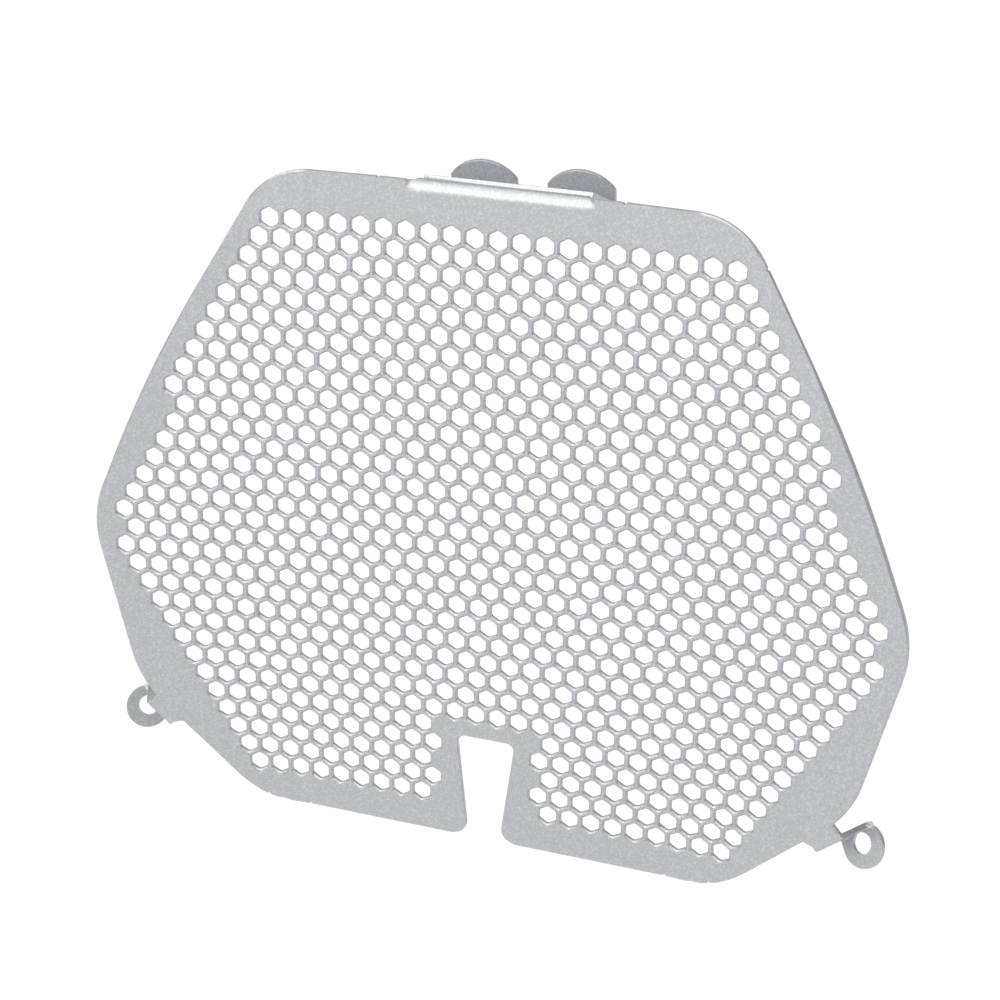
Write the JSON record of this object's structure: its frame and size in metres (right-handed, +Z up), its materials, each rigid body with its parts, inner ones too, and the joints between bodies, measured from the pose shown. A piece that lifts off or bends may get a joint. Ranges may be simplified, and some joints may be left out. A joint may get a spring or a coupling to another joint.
{
  "type": "motorcycle radiator guard",
  "caption": "Dished hexagon-grille sheet that shields a motorcycle radiator, with a hook bracket on its top edge, bolt eyes at its lower corners and a notch in its bottom edge.",
  "frame": {"origin": "middle of the panel's top edge, halfway through the sheet, where the hook bracket bends back", "axes": "+X across to the guard's own right as seen from the front, +Y back towards the radiator, +Z up as fitted"},
  "size_m": [0.2554, 0.0426, 0.2107],
  "materials": {
    "sheet": "satin silver"
  },
  "bodies": {
    "root": {"radiator_guard": "sheet"}
  },
  "joints": []
}
